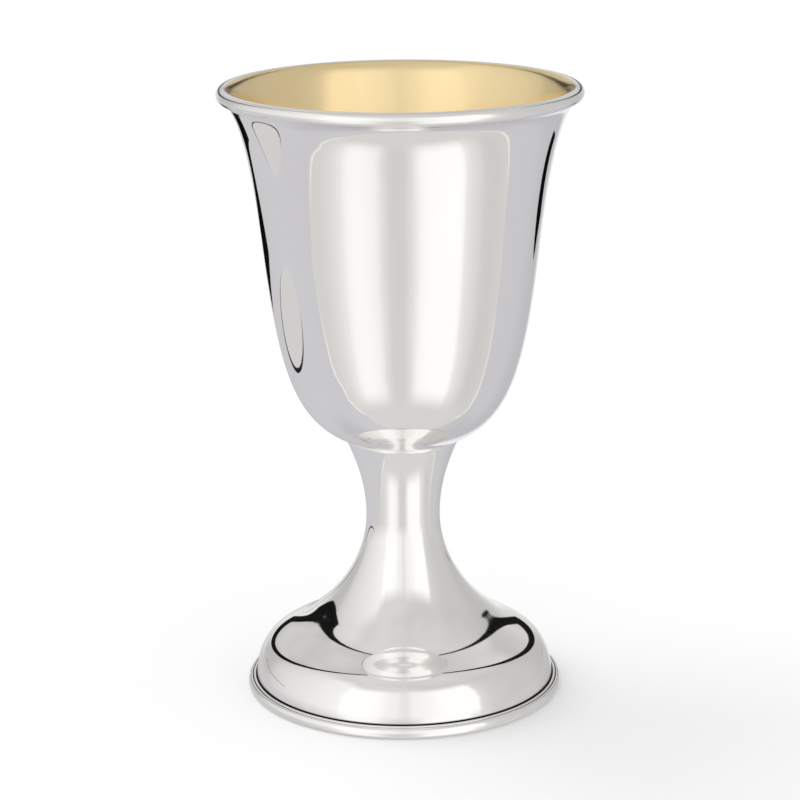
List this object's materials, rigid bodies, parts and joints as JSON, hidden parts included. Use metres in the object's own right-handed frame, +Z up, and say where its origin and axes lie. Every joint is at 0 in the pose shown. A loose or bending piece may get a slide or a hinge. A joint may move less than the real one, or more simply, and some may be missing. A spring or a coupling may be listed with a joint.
{
  "type": "kiddush cup",
  "caption": "Plain polished silver goblet for blessing wine: bell-shaped bowl with a rolled lip, gilt inside, waisted stem, domed round foot with a stepped rim.",
  "frame": {"origin": "centre of the flat ring under the foot, on the cup's axis", "axes": "+Z up along the cup's axis, from the foot to the lip; +X and +Y are any two directions across it"},
  "size_m": [0.08, 0.08, 0.138],
  "materials": {
    "gilt_lined_silver": "mirror-polished sterling silver outside and over the lip, satin gold wash inside",
    "polished_silver": "mirror-polished sterling silver with fine wiping marks"
  },
  "bodies": {
    "root": {"bowl": "gilt_lined_silver", "stem_and_foot": "polished_silver"}
  },
  "joints": []
}
